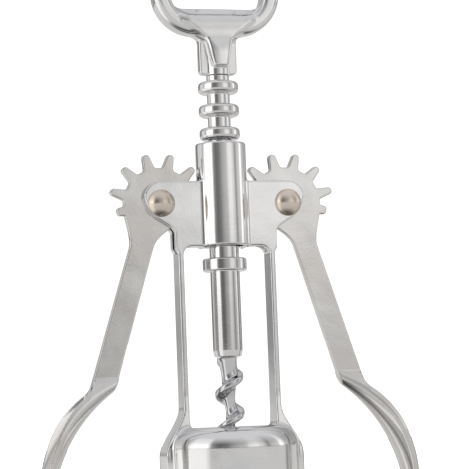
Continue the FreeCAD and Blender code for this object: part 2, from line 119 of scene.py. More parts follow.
def sampled(field, axes):
    """The field on a grid: in full near the surface, and elsewhere one value for each block."""
    block = 8
    step = axes[0][1] - axes[0][0]
    starts = [np.arange(0, len(axis), block) for axis in axes]
    middles = [axis[0] + (start + (block - 1) / 2) * step for axis, start in zip(axes, starts)]
    coarse = field(*np.meshgrid(*middles, indexing="ij"))
    values = np.empty([len(axis) for axis in axes], np.float32)
    for number, middle in np.ndenumerate(coarse):
        parts = tuple(slice(start[n], start[n] + block) for start, n in zip(starts, number))
        if abs(middle) > 1.3 * block * step:
            values[parts] = middle
        else:
            near = [axis[part] for axis, part in zip(axes, parts)]
            values[parts] = field(*np.meshgrid(*near, indexing="ij"))
    return values


CORNERS = [(i, j, k) for i in (0, 1) for j in (0, 1) for k in (0, 1)]
EDGES = [(a, b) for a in range(8) for b in range(a + 1, 8)
         if sum(abs(p - q) for p, q in zip(CORNERS[a], CORNERS[b])) == 1]


def cell_points(values, axes, step):
    """One point in each grid cell that the surface passes through, and the cell's number."""
    shape = np.array(values.shape) - 1
    inside = values < 0
    filled = sum(inside[i:i + shape[0], j:j + shape[1], k:k + shape[2]].astype(np.int8)
                 for i, j, k in CORNERS)
    cells = np.argwhere((filled > 0) & (filled < 8))
    at_corner = [values[cells[:, 0] + i, cells[:, 1] + j, cells[:, 2] + k] for i, j, k in CORNERS]
    total = np.zeros((len(cells), 3))
    count = np.zeros(len(cells))
    for a, b in EDGES:
        crossed = (at_corner[a] < 0) != (at_corner[b] < 0)
        part = at_corner[a][crossed] / (at_corner[a][crossed] - at_corner[b][crossed])
        start, end = np.array(CORNERS[a], float), np.array(CORNERS[b], float)
        total[crossed] += start + part[:, None] * (end - start)
        count[crossed] += 1
    origin = np.array([axis[0] for axis in axes])
    points = origin + (cells + total / count[:, None]) * step
    numbers = np.full(shape, -1)
    numbers[tuple(cells.T)] = np.arange(len(cells))
    return points, numbers


def cell_faces(values, numbers):
    """A four-sided face round each grid edge that the surface crosses."""
    inside = values < 0
    faces = []
    for axis in range(3):
        first, second = (axis + 1) % 3, (axis + 2) % 3
        low = [slice(None)] * 3
        high = [slice(None)] * 3
        low[axis], high[axis] = slice(None, -1), slice(1, None)
        crossed = np.argwhere(inside[tuple(low)] != inside[tuple(high)])
        near_side = (crossed[:, first] > 0) & (crossed[:, second] > 0)
        far_side = ((crossed[:, first] < numbers.shape[first])
                    & (crossed[:, second] < numbers.shape[second]))
        crossed = crossed[near_side & far_side]
        ring = []
        for back_first, back_second in ((1, 1), (0, 1), (0, 0), (1, 0)):
            cell = crossed.copy()
            cell[:, first] -= back_first
            cell[:, second] -= back_second
            ring.append(numbers[tuple(cell.T)])
        ring = np.stack(ring, axis=1)
        leaving = inside[tuple(crossed.T)]
        ring[~leaving] = ring[~leaving][:, ::-1]
        faces.append(ring)
    return np.concatenate(faces)


def mesh_piece(name, points, faces, normals, material):
    """A Blender object from points in millimetres, four-sided faces and a normal at each point."""
    mesh = bpy.data.meshes.new(name)
    mesh.vertices.add(len(points))
    mesh.vertices.foreach_set("co", (points * MM).astype(np.float32).ravel())
    mesh.loops.add(faces.size)
    mesh.loops.foreach_set("vertex_index", faces.astype(np.int32).ravel())
    mesh.polygons.add(len(faces))
    mesh.polygons.foreach_set("loop_start", np.arange(0, faces.size, 4, dtype=np.int32))
    mesh.update(calc_edges=True)
    mesh.validate()
    mesh.polygons.foreach_set("use_smooth", np.ones(len(mesh.polygons), bool))
    mesh.normals_split_custom_set_from_vertices(normals.tolist())
    mesh.materials.append(material)
    piece = bpy.data.objects.new(name, mesh)
    bpy.context.scene.collection.objects.link(piece)
    return piece


def cast_piece(name, field, low, high, step, material):
    """A mesh of where the field is zero, its points drawn onto the exact surface."""
    margin = 3 * step
    axes = [np.arange(low[axis] - margin, high[axis] + margin, step) for axis in range(3)]
    values = sampled(field, axes)
    points, numbers = cell_points(values, axes, step)
    faces = cell_faces(values, numbers)
    for _ in range(4):
        slope = gradient(field, points)
        size = np.maximum((slope ** 2).sum(axis=1), 0.05)
        pull = (field(*points.T) / size)[:, None] * slope
        length = np.linalg.norm(pull, axis=1)[:, None]
        points -= pull * np.minimum(1, 0.4 * step / np.maximum(length, 1e-9))
    slope = gradient(field, points)
    normals = slope / np.maximum(np.linalg.norm(slope, axis=1), 1e-9)[:, None]
    return mesh_piece(name, points, faces, normals, material)


# ---------------------------------------------------------------------------
# Lathed pieces
# ---------------------------------------------------------------------------

def filleted(corners, steps):
    """Points and outward normals round a closed outline (radius, height, bend), its corners rounded."""
    points, normals = [], []
    count = len(corners)
    for number in range(count):
        here = Vector(corners[number][:2])
        bend = corners[number][2]
        to_last = (Vector(corners[number - 1][:2]) - here).normalized()
        to_next = (Vector(corners[(number + 1) % count][:2]) - here).normalized()
        half = to_last.angle(to_next) / 2
        back = bend / math.tan(half)
        centre = here + (to_last + to_next).normalized() * (bend / math.sin(half))
        start, end = here + to_last * back - centre, here + to_next * back - centre
        bulge = 1 if (to_next.x * to_last.y - to_next.y * to_last.x) > 0 else -1
        for step in range(steps + 1):
            spoke = start.slerp(end, step / steps).normalized()
            points.append(centre + spoke * bend)
            normals.append(spoke * bulge)
    return np.array(points), np.array(normals)


LATHE_SIDES = 96


def lathed(name, corners, material, fillet_steps):
    """An outline turned about the Z axis."""
    sides = LATHE_SIDES
    outline, outward = filleted(corners, fillet_steps)
    angles = np.arange(sides) * (2 * math.pi / sides)
    around = np.stack([np.cos(angles), np.sin(angles)], axis=1)

    def spun(flat):
        across = flat[:, None, 0, None] * around[None]
        height = np.repeat(flat[:, 1, None, None], sides, axis=1)
        return np.concatenate([across, height], axis=2).reshape(-1, 3)

    rows, columns = np.meshgrid(np.arange(len(outline)), np.arange(sides), indexing="ij")
    next_row, next_column = (rows + 1) % len(outline), (columns + 1) % sides
    faces = np.stack([rows * sides + columns, rows * sides + next_column,
                      next_row * sides + next_column, next_row * sides + columns], axis=-1).reshape(-1, 4)
    return mesh_piece(name, spun(outline), faces, spun(outward), material)


# ---------------------------------------------------------------------------
# Materials
# ---------------------------------------------------------------------------

def add_node(tree, kind, at, **settings):
    """A new node, placed and set up."""
    node = tree.nodes.new(kind)
    node.location = at
    for key, value in settings.items():
        setattr(node, key, value)
    return node


def noise(tree, coordinates, scale, detail, at):
    """A noise texture's level."""
    node = add_node(tree, "ShaderNodeTexNoise", at)
    node.inputs["Scale"].default_value = scale
    node.inputs["Detail"].default_value = detail
    tree.links.new(coordinates, node.inputs["Vector"])
    return node.outputs["Fac"]


def mapped(tree, value, low_in, high_in, low_out, high_out, at):
    """A value stretched from one range to another, and held at its ends."""
    node = add_node(tree, "ShaderNodeMapRange", at)
    for socket, number in (("From Min", low_in), ("From Max", high_in),
                           ("To Min", low_out), ("To Max", high_out)):
        node.inputs[socket].default_value = number
    tree.links.new(value, node.inputs["Value"])
    return node.outputs["Result"]


def blended(tree, factor, first, second, at):
    """A colour between two, which are plain colours or sockets."""
    node = add_node(tree, "ShaderNodeMix", at, data_type="RGBA")
    for socket, value in ((node.inputs[6], first), (node.inputs[7], second)):
        if isinstance(value, bpy.types.NodeSocket):
            tree.links.new(value, socket)
        else:
            socket.default_value = (*value, 1)
    tree.links.new(factor, node.inputs["Factor"])
    return node.outputs[2]


def chrome(name, bright, dull, smooth, rough, wave, grain):
    """Bright plate: clouded reflectivity, faint hollows, hairline scratches, and a painted highlight on
    the convex edges.
    """
    material = bpy.data.materials.new(name)
    material.use_nodes = True
    tree = material.node_tree
    shader = tree.nodes["Principled BSDF"]
    shader.inputs["Metallic"].default_value = 1.0
    place = add_node(tree, "ShaderNodeTexCoord", (-1300, 0)).outputs["Object"]

    clouds = noise(tree, place, 70.0, 4.0, (-1050, 300))
    tone = mapped(tree, clouds, 0.35, 0.7, 0.0, 1.0, (-850, 300))
    plate = blended(tree, tone, bright, dull, (-600, 300))

    stretch = add_node(tree, "ShaderNodeMapping", (-1100, -80))
    stretch.inputs["Rotation"].default_value = (0.5, 0.3, 0.9)
    stretch.inputs["Scale"].default_value = (1.0, 1.0, 14.0)
    tree.links.new(place, stretch.inputs["Vector"])
    hairlines = noise(tree, stretch.outputs["Vector"], 260.0, 3.0, (-900, -80))
    scratched = mapped(tree, hairlines, 0.62, 0.78, 0.0, 1.0, (-700, -80))
    smears = noise(tree, place, 160.0, 5.0, (-900, -300))
    polish = mapped(tree, smears, 0.35, 0.75, smooth, rough, (-700, -300))
    finish = add_node(tree, "ShaderNodeMath", (-450, -150), operation="MULTIPLY_ADD")
    finish.inputs[1].default_value = 0.08
    tree.links.new(scratched, finish.inputs[0])
    tree.links.new(polish, finish.inputs[2])
    tree.links.new(finish.outputs[0], shader.inputs["Roughness"])

    # Painted highlight: the base colour turns lighter on convex edges, where the mesh's pointiness is
    # high.
    edges = add_node(tree, "ShaderNodeNewGeometry", (-1100, 560)).outputs["Pointiness"]
    painted_edge_highlight = mapped(tree, edges, 0.53, 0.62, 0.0, 0.35, (-850, 560))
    colour = blended(tree, painted_edge_highlight, plate, (0.93, 0.91, 0.88), (-350, 300))
    tree.links.new(colour, shader.inputs["Base Color"])

    hollows = noise(tree, place, 95.0, 1.5, (-900, -520))
    big = add_node(tree, "ShaderNodeBump", (-450, -450))
    big.inputs["Strength"].default_value = wave
    big.inputs["Distance"].default_value = 0.0004
    tree.links.new(hollows, big.inputs["Height"])
    pores = noise(tree, place, 1500.0, 2.0, (-900, -740))
    small = add_node(tree, "ShaderNodeBump", (-200, -450))
    small.inputs["Strength"].default_value = grain
    small.inputs["Distance"].default_value = 0.00002
    tree.links.new(pores, small.inputs["Height"])
    tree.links.new(big.outputs["Normal"], small.inputs["Normal"])
    tree.links.new(small.outputs["Normal"], shader.inputs["Normal"])
    return material


frame_chrome = chrome(
    "frame_chrome", bright=(0.86, 0.86, 0.86), dull=(0.78, 0.78, 0.79),
    smooth=0.05, rough=0.13, wave=0.20, grain=0.3)
lever_chrome = chrome(
    "lever_chrome", bright=(0.79, 0.785, 0.78), dull=(0.69, 0.665, 0.64),
    smooth=0.08, rough=0.18, wave=0.25, grain=0.4)
spindle_chrome = chrome(
    "spindle_chrome", bright=(0.86, 0.85, 0.85), dull=(0.77, 0.76, 0.76),
    smooth=0.05, rough=0.11, wave=0.10, grain=0.2)
head_chrome = chrome(
    "head_chrome", bright=(0.86, 0.86, 0.86), dull=(0.77, 0.77, 0.78),
    smooth=0.06, rough=0.14, wave=0.25, grain=0.3)
rivet_nickel = chrome(
    "rivet_nickel", bright=(0.81, 0.72, 0.63), dull=(0.71, 0.61, 0.52),
    smooth=0.20, rough=0.32, wave=0.20, grain=0.4)
worm_chrome = chrome(
    "worm_chrome", bright=(0.78, 0.78, 0.80), dull=(0.62, 0.62, 0.64),
    smooth=0.08, rough=0.20, wave=0.20, grain=0.5)


# ---------------------------------------------------------------------------
# Frame casting: bell, ribs, legs, yoke and barrel
# ---------------------------------------------------------------------------

BELL_HEIGHT = 40.0
BELL_RADIUS = BELL_HIGH[1]
SHOULDER_BEND = 5.6
BELL_WALL = 1.9
TOP_WALL = 3.5
TOP_HOLE = LEG_INNER
RIB_HALF_DEPTH = 4.2
RIB_FADE_LOW, RIB_FADE_HIGH = 30.0, 50.0
YOKE_TOP = 105.5
EAR_RADIUS = 4.7
EAR_TOP_BEND, EAR_UNDER_BEND = 4.6, 4.0
UNDER_SLOPE, UNDER_DROP, UNDER_BACK = 0.62, 5.6, 1.4
WINDOW_TOP = 88.0
WINDOW_BEND = 2.3
SLOT_RADIUS, SLOT_HALF = 14.0, 1.3
BARREL_RADIUS = YOKE_HIGH[1]
BARREL_BORE = 5.53
BARREL_BOTTOM, BARREL_TOP = 88.0, YOKE_HIGH[2]
COLLAR_GAP, COLLAR_ROOM_TOP, COLLAR_ROOM_HALF = 0.4, 0.25, 4.0
FRAME_STEP = 0.34


def bell_field(x, y, z):
    """The turned bell with its wide top hole, still open-ended below."""
    radius = np.hypot(x, y)
    over = radius - (BELL_RADIUS - SHOULDER_BEND)
    above = z - (BELL_HEIGHT - SHOULDER_BEND)
    outside = (np.hypot(np.maximum(over, 0), np.maximum(above, 0))
               + np.minimum(np.maximum(over, above), 0) - SHOULDER_BEND)
    bore = meet(radius - (BELL_RADIUS - BELL_WALL), z - (BELL_HEIGHT - TOP_WALL), 2.2)
    hole = radius - TOP_HOLE
    return carve(carve(outside, bore, 0.3), hole, 0.6)


def legs_outline(out, z):
    """A leg from the front: straight, and flared at the foot into the rib down the bell's side."""
    flare = 1 - ramp(z, BELL_HEIGHT - 7.5, BELL_HEIGHT + 5.5)
    reach = LEG_OUTER + (BELL_HIGH[0] - LEG_OUTER) * flare
    inner = LEG_INNER + (BELL_RADIUS - 1.2 - LEG_INNER) * (1 - ramp(z, BELL_HEIGHT - 5, BELL_HEIGHT - 1.5))
    return np.maximum(np.maximum(out - reach, inner - out), z - (PIVOT_HEIGHT - 5))


def yoke_outline(out, z):
    """The yoke from the front, with its rounded ears."""
    top = z - YOKE_TOP
    end = out - (PIVOT_OUT + EAR_RADIUS)
    slope_height = (PIVOT_HEIGHT - UNDER_DROP) + (out - (PIVOT_OUT - UNDER_BACK)) * UNDER_SLOPE
    under = (slope_height - z) / math.hypot(1, UNDER_SLOPE)
    ear = meet(meet(top, end, EAR_TOP_BEND), under, EAR_UNDER_BEND)
    middle = np.maximum(np.maximum(out - LEG_OUTER, WINDOW_TOP - z), top)
    return np.minimum(ear, middle)


def frame_field(x, y, z):
    """The whole casting."""
    radius, out = np.hypot(x, y), np.abs(x)
    outline = join(yoke_outline(out, z), legs_outline(out, z), WINDOW_BEND)
    rib = 1 - ramp(z, RIB_FADE_LOW, RIB_FADE_HIGH)
    half_depth = CASTING_HALF_DEPTH + (RIB_HALF_DEPTH - CASTING_HALF_DEPTH) * rib
    slab = meet(outline, np.abs(y) - half_depth, 0.45)
    barrel = meet(meet(radius - BARREL_RADIUS, z - BARREL_TOP, 0.6), BARREL_BOTTOM - z, 0.5)
    solid = join(join(slab, bell_field(x, y, z), 1.0), barrel, 0.7)
    bore = np.maximum(radius - BARREL_BORE, WINDOW_TOP - 3 - z)
    slot = meet(np.hypot(out - PIVOT_OUT, z - PIVOT_HEIGHT) - SLOT_RADIUS, np.abs(y) - SLOT_HALF, 0.2)
    # The stop collar comes up to just below the barrel, so its room is kept clear.
    room_middle = BARREL_BOTTOM - COLLAR_ROOM_TOP - COLLAR_ROOM_HALF
    collar_room = np.maximum(radius - COLLAR_HIGH[0] - COLLAR_GAP,
                             np.abs(z - room_middle) - COLLAR_ROOM_HALF)
    return meet(carve(carve(carve(solid, bore, 0.5), slot, 0.3), collar_room, 0.2), -z, 0.4)


frame_casting = cast_piece(
    "frame_casting", frame_field,
    (-YOKE_HIGH[0], -BELL_RADIUS, 0), (YOKE_HIGH[0], BELL_RADIUS, BARREL_TOP), FRAME_STEP, frame_chrome)
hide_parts("bell", "left_leg", "right_leg", "yoke")
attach(frame_casting, "frame")


# ---------------------------------------------------------------------------
# Rivets
# ---------------------------------------------------------------------------

RIVET_RADIUS = 2.0
HEAD_RADIUS = (RIVET_HIGH[2] - RIVET_LOW[2]) / 2
HEAD_RISE = RIVET_HIGH[1] - CASTING_HALF_DEPTH
RIVET_STEP = 0.14


def rivet(name, side):
    """A rivet with a domed head front and back."""
    plane = CASTING_HALF_DEPTH + 0.02
    rise = HEAD_RISE - 0.02
    ball = (HEAD_RADIUS ** 2 + rise ** 2) / (2 * rise) + 0.15

    def field(x, y, z):
        radius = np.hypot(x - side * PIVOT_OUT, z - PIVOT_HEIGHT)
        depth = np.abs(y)
        cap = np.hypot(radius, depth - (plane + rise - ball)) - ball
        head = meet(meet(cap, radius - HEAD_RADIUS, 0.3), plane - depth, 0.12)
        return join(head, np.maximum(radius - RIVET_RADIUS, depth - plane - 0.5), 0.1)

    low, high = span(name)
    piece = cast_piece(name, field, low, high, RIVET_STEP, rivet_nickel)
    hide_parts(name)
    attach(piece, "frame")


rivet("left_rivet", -1)
rivet("right_rivet", 1)


# ---------------------------------------------------------------------------
# Levers
# ---------------------------------------------------------------------------

GEAR_ROOT, GEAR_TIP = 9.75, 13.7
TOOTH_STEP = math.radians(30)
TOOTH_COUNT = 7
TOOTH_ROOT_HALF, TOOTH_TAPER = 1.5, 0.16
HUB_RADIUS = 6.8
HUB_MIDDLE, HUB_HALF = math.radians(-75), math.radians(48)
HEEL_ANGLE, HEEL_HALF, HEEL_REACH = math.radians(190), 1.15, 11.7
PLATE_HALF = 1.1
ARM_ANGLE = math.radians(17.4)
ARM_OFFSET = 1.6
ARM_HALF, ARM_WIDENING, ARM_LENGTH = 3.02, 0.25, 48
ARM_BEND = 5.0
RIDGE_RADIUS, RIDGE_OUT, RIDGE_DROP = 42.0, -10.3, 83.6
BLADE_TOP_DROP, BLADE_WIDEST, BLADE_TIP_DROP = 44.8, 63.0, 82.0
BLADE_HALF_WIDTH = 5.7
ROOT_BEND, SCOOP_TOP = 5.0, 36.0
SHELL_HALF, RIM_THINNING = 0.85, 0.3
CURL, ROOT_CURL, CURL_START, CURL_FADE = 0.065, 0.15, 51, 6
LEVER_BORE = 2.05
LEVER_STEP = 0.22


def gear_field(inward, up):
    """The flat outline of the toothed end about the pivot: the root disc with its seven teeth."""
    radius = np.hypot(inward, up)
    angle = np.arctan2(up, inward)
    disc = radius - GEAR_ROOT
    # Under the pivot the disc gives way to the plain hub.
    from_middle = np.mod(angle - HUB_MIDDLE + math.pi, 2 * math.pi) - math.pi
    lower_cut = np.abs(from_middle) - HUB_HALF
    disc = np.maximum(disc, -lower_cut * radius)
    disc = join(disc, radius - HUB_RADIUS, 1.0)
    wrapped = np.where(angle < math.radians(-120), angle + 2 * math.pi, angle)
    number = np.clip(np.round(wrapped / TOOTH_STEP + 0.5), 0, TOOTH_COUNT - 1)
    turned = wrapped - (number - 0.5) * TOOTH_STEP
    along, across = radius * np.cos(turned), np.abs(radius * np.sin(turned))
    half = TOOTH_ROOT_HALF - TOOTH_TAPER * (along - GEAR_ROOT)
    flank = (across - half) / math.hypot(1, TOOTH_TAPER)
    tooth = meet(np.maximum(flank, 5 - along), along - GEAR_TIP, 0.8)
    return join(disc, tooth, 0.55)


def lever_field(inward, y, up):
    """A whole lever about its pivot: inward is towards the screw."""
    out, down = -inward, -up
    along = out * math.sin(ARM_ANGLE) + down * math.cos(ARM_ANGLE)
    beside = out * math.cos(ARM_ANGLE) - down * math.sin(ARM_ANGLE) - ARM_OFFSET
    half_width = ARM_HALF + ARM_WIDENING * np.clip(along / ARM_LENGTH, 0, 1)
    arm = np.maximum(np.abs(beside) - half_width, -along)

    heel_along = inward * math.cos(HEEL_ANGLE) + up * math.sin(HEEL_ANGLE)
    heel_across = -inward * math.sin(HEEL_ANGLE) + up * math.cos(HEEL_ANGLE)
    heel = np.maximum(np.abs(heel_across) - HEEL_HALF, 4 - heel_along)
    heel = meet(heel, heel_along - HEEL_REACH, 0.8)
    outline = join(gear_field(inward, up), heel, 0.6)
    outline = join(outline, arm, ARM_BEND)
    plate = meet(outline, np.abs(y) - PLATE_HALF, 0.35)
    hole = np.hypot(inward, up) - LEVER_BORE
    plate = carve(plate, hole, 0.15)

    # The blade is a leaf-shaped scoop, hollow outside, whose ridge follows an arc outwards and down.
    bend_x, bend_z = out - RIDGE_OUT, RIDGE_DROP - down
    off_ridge = np.where(bend_z > 0, np.hypot(bend_x, bend_z), bend_x) - RIDGE_RADIUS
    curl = CURL + ROOT_CURL * np.exp((CURL_START - np.maximum(down, 47)) / CURL_FADE)
    off_scoop = off_ridge - curl * y * y
    upper = np.clip((down - BLADE_TOP_DROP) / (BLADE_WIDEST - BLADE_TOP_DROP), 0, 1)
    lower = np.clip((down - BLADE_WIDEST) / (BLADE_TIP_DROP - BLADE_WIDEST), 0, 1)
    widening = 0.9 + (BLADE_HALF_WIDTH - 0.9) * np.sin(upper * math.pi / 2)
    narrowing = BLADE_HALF_WIDTH * np.sqrt(np.maximum(1 - lower ** 2.1, 0))
    leaf_half = np.where(down < BLADE_WIDEST, widening, narrowing)
    half_thick = SHELL_HALF - RIM_THINNING * np.clip(np.abs(y) / BLADE_HALF_WIDTH, 0, 1)
    shell = np.abs(off_scoop / np.sqrt(1 + (2 * curl * y) ** 2) - half_thick) - half_thick
    side = np.maximum((np.abs(y) - leaf_half) * 0.85, BLADE_TOP_DROP - down)
    blade = meet(shell, np.maximum(side, down - BLADE_TIP_DROP), 0.4)

    # The arm's flat faces swell in a hollow curve out to the scoop's rims. The arm's inner edge cuts
    # both off.
    lift = np.clip(ROOT_BEND + 1.3 - off_scoop, 0, ROOT_BEND)
    swollen = PLATE_HALF + ROOT_BEND - np.sqrt(ROOT_BEND ** 2 - lift ** 2)
    rim = np.maximum(leaf_half - 0.15, PLATE_HALF)
    face = np.maximum((np.abs(y) - swollen) * 0.7, np.abs(y) - rim)
    root = meet(np.maximum(beside - half_width, 0.8 - off_scoop), face, 0.35)
    scoop = meet(join(root, blade, 0.5), -(beside + half_width), 0.5)
    scoop = np.maximum(scoop, SCOOP_TOP - down)
    return np.minimum(np.maximum(plate, down - SCOOP_TOP - 1), scoop)


def lever(name, side):
    """One gear lever, in its place on the rivet."""
    def field(x, y, z):
        return lever_field(PIVOT_OUT - side * x, y, z - PIVOT_HEIGHT)

    low, high = span(name)
    piece = cast_piece(name, field, low, high, LEVER_STEP, lever_chrome)
    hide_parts(name)
    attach(piece, name)


lever("left_lever", -1)
lever("right_lever", 1)


# ---------------------------------------------------------------------------
# Rack spindle and stop collar
# ---------------------------------------------------------------------------

RING_PITCH = 2 * math.pi
RING_COUNT = 7
RING_RADIUS = RACK_HIGH[0]
RING_HALF = 1.62
CORE_RADIUS, STEM_RADIUS, RACK_BORE = 3.07, 3.95, 2.08


def rack():
    """The rack's tube with its rings, and the plain stem below with a crimped end."""
    first = PIVOT_HEIGHT - RING_PITCH
    outline = [
        (RACK_BORE, RACK_LOW[2], 0.1),
        (STEM_RADIUS - 0.35, RACK_LOW[2], 0.3),
        (STEM_RADIUS, RACK_LOW[2] + 1.6, 0.8),
        (STEM_RADIUS, first - RING_HALF, 0.2),
    ]
    for number in range(RING_COUNT):
        middle = first + number * RING_PITCH
        core = STEM_RADIUS if number == 0 else CORE_RADIUS
        if number:
            outline.append((core, middle - RING_HALF, 0.35))
        outline.append((RING_RADIUS, middle - RING_HALF, 1.15))
        outline.append((RING_RADIUS, middle + RING_HALF, 1.15))
        outline.append((CORE_RADIUS, middle + RING_HALF, 0.35))
    outline += [(CORE_RADIUS, RACK_HIGH[2], 0.2), (RACK_BORE, RACK_HIGH[2], 0.1)]
    piece = lathed("rack_spindle", outline, spindle_chrome, 6)
    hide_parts("rack_spindle")
    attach(piece, "rack")


def collar():
    """The stop collar, with eased edges."""
    outline = [
        (STEM_RADIUS + 0.01, COLLAR_LOW[2], 0.1),
        (COLLAR_HIGH[0], COLLAR_LOW[2], 0.55),
        (COLLAR_HIGH[0], COLLAR_HIGH[2], 0.55),
        (STEM_RADIUS + 0.01, COLLAR_HIGH[2], 0.1),
    ]
    piece = lathed("stop_collar", outline, spindle_chrome, 5)
    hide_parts("stop_collar")
    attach(piece, "rack")


rack()
collar()


# ---------------------------------------------------------------------------
# Head
# ---------------------------------------------------------------------------

HEAD_BOTTOM = 145.1
HEAD_HALF_WIDTH = HEAD_HIGH[0]
HEAD_HALF_DEPTH = 3.4
RIM = 4.6
LOW_BEND, HIGH_BEND = 11.5, 13.5
LOOP_BOTTOM = 152.4
NECK_RADIUS = HEAD_HIGH[1]
TONGUE_BOTTOM = 136.4
TONGUE_FRONT, TONGUE_SETBACK = 5.0, 1.9
SHANK = 2.03
HEAD_STEP = 0.24


def head_field(x, y, z):
    """The loop with its lifter's lip, flowing into the finned neck."""
    middle = (HEAD_BOTTOM + HEAD_HIGH[2]) / 2
    half_height = (HEAD_HIGH[2] - HEAD_BOTTOM) / 2
    bend = LOW_BEND + (HIGH_BEND - LOW_BEND) * ramp(z, middle - 4, middle + 4)
    outside = panel(x, z - middle, HEAD_HALF_WIDTH, half_height, bend)
    band = np.maximum(outside, -(outside + RIM))
    ring = meet(band, np.abs(y) - HEAD_HALF_DEPTH, 1.7)
    web = meet(np.maximum(outside + 1.0, z - LOOP_BOTTOM), np.abs(y) - 1.1, 0.3)
    loop = join(ring, web, 1.6)

    # The neck: a broad tongue front and back that flows up into the loop, and a fin at each side.
    radius = np.hypot(x, y)
    neck_room = radius - NECK_RADIUS - np.maximum(z - HEAD_BOTTOM + 1, 0)
    fin = meet(panel(x, z - (HEAD_LOW[2] + 8), NECK_RADIUS, 8, 1.6), np.abs(y) - 1.5, 0.4)
    height = np.clip(z - TONGUE_BOTTOM, 0, 12)
    widening = 1.95 + 0.23 * height + 0.11 * np.maximum(height - 6, 0) ** 2
    front = TONGUE_FRONT - TONGUE_SETBACK * ramp(z, HEAD_BOTTOM - 5, HEAD_BOTTOM + 4)
    tongue = meet(meet((np.abs(x) - widening) * 0.8, np.abs(y) - front, 0.7), TONGUE_BOTTOM - z, 0.5)
    tongue = np.maximum(tongue, z - (HEAD_BOTTOM + RIM))
    boss = np.maximum(np.maximum(radius - CORE_RADIUS, HEAD_LOW[2] - z), z - HEAD_BOTTOM)
    neck = meet(join(join(tongue, fin, 0.5), boss, 0.4), neck_room, 0.4)
    solid = join(loop, neck, 2.4)
    socket = np.maximum(radius - SHANK, z - (HEAD_BOTTOM + 3))
    return carve(solid, socket, 0.1)


head = cast_piece("head", head_field, HEAD_LOW, HEAD_HIGH, HEAD_STEP, head_chrome)
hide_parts("head")
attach(head, "screw")


# ---------------------------------------------------------------------------
# Worm
# ---------------------------------------------------------------------------

WORM_PITCH = 9.6
FLANGE = 3.85


def worm():
    """The worm's points and faces. Rows follow the thread, so that the flange stays crisp."""
    per_turn, around = 28, 72
    low, high = WORM_LOW[2], RACK_LOW[2] - 0.2
    turns = (high - low) / WORM_PITCH + 1
    rows = int(turns * per_turn)
    phases = np.arange(per_turn) / per_turn
    # More rows where the flange is.
    warp = phases + 0.11 * np.sin(2 * math.pi * phases)
    columns = np.arange(around + 1) / around
    points = []
    for row in range(-per_turn, rows + 1):
        turn, step = divmod(row, per_turn)
        points.append(turn + warp[step] + columns)
    travel = np.array(points)
    height = np.clip(low + travel * WORM_PITCH, low, high)
    phase = np.array([[warp[row % per_turn]] * (around + 1) for row in range(-per_turn, rows + 1)])
    off_crest = (phase - 0.5) * WORM_PITCH
    core = np.interp(height, (low, low + 3, low + 10, low + 24, low + 36, high),
                     (0.15, 0.75, 1.0, 1.15, 2.25, 2.4))
    reach = FLANGE * ramp(height, low - 1.0, low + 9.0) ** 0.7
    reach = np.where(height > high - 4, reach - (reach - 3.0) * ramp(height, high - 4, high), reach)
    crest = 1 / (1 + np.exp((np.abs(off_crest) - 1.15) / 0.16))
    foot = 0.28 * np.exp(-(off_crest / 2.2) ** 2)
    rise = np.clip(crest + foot * (1 - crest), 0, 1)
    radius = core + np.maximum(reach - core, 0) * rise
    angle = columns[None] * 2 * math.pi
    shape = np.stack([radius * np.cos(angle), radius * np.sin(angle), height], axis=2)
    count_rows = shape.shape[0]
    # The last column is the first, one turn on.
    shape = shape[:, :around]
    numbers = np.arange(count_rows * around).reshape(count_rows, around)
    faces = []
    for column in range(around):
        following = (column + 1) % around
        lift = per_turn if following == 0 else 0
        last = count_rows - 1 - lift
        lower = numbers[:last, column]
        faces.append(np.stack([
            lower, numbers[lift:lift + last, following],
            numbers[lift + 1:lift + 1 + last, following], numbers[1:last + 1, column]], axis=1))
    return shape.reshape(-1, 3), np.concatenate(faces)


def worm_piece():
    """The worm, smooth all over."""
    points, faces = worm()
    mesh = bpy.data.meshes.new("worm")
    mesh.from_pydata((points * MM).tolist(), [], faces.tolist())
    mesh.validate()
    mesh.polygons.foreach_set("use_smooth", np.ones(len(mesh.polygons), bool))
    mesh.materials.append(worm_chrome)
    piece = bpy.data.objects.new("worm", mesh)
    bpy.context.scene.collection.objects.link(piece)
    return piece


auger = worm_piece()
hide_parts("worm")
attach(auger, "screw")


# ---------------------------------------------------------------------------
# Floor, light and camera
# ---------------------------------------------------------------------------

def floor():
    """A wide pale floor that runs out of sight."""
    mesh = bpy.data.meshes.new("floor")
    reach = 6.0
    corners = [(-reach, -reach, 0), (reach, -reach, 0), (reach, reach, 0), (-reach, reach, 0)]
    mesh.from_pydata(corners, [], [(0, 1, 2, 3)])
    material = bpy.data.materials.new("floor_white")
    material.use_nodes = True
    tree = material.node_tree
    shader = tree.nodes["Principled BSDF"]
    place = add_node(tree, "ShaderNodeTexCoord", (-700, 0)).outputs["Object"]
    mottle = noise(tree, place, 12.0, 3.0, (-500, 0))
    colour = blended(tree, mottle, (0.90, 0.90, 0.90), (0.93, 0.93, 0.93), (-250, 0))
    tree.links.new(colour, shader.inputs["Base Color"])
    shader.inputs["Roughness"].default_value = 0.7
    shader.inputs["Specular IOR Level"].default_value = 0.2
    mesh.materials.append(material)
    piece = bpy.data.objects.new("floor", mesh)
    bpy.context.scene.collection.objects.link(piece)
    # It shows only its shadows against the white studio, so that no horizon is seen.
    piece.is_shadow_catcher = True
    piece.visible_glossy = False


def banded(tree, value, width, offset, stops, at):
    """A ramp of grey levels over the 0 to 1 of value, with its stops given from -offset up over width."""
    node = add_node(tree, "ShaderNodeValToRGB", at)
    elements = node.color_ramp.elements
    elements.remove(elements[1])
    for number, (place, level) in enumerate(stops):
        position = (place + offset) / width
        element = elements[0] if number == 0 else elements.new(position)
        element.position = position
        element.color = (level, level * 0.99, level * 0.975, 1)
    tree.links.new(value, node.inputs["Fac"])
    return node.outputs["Color"]


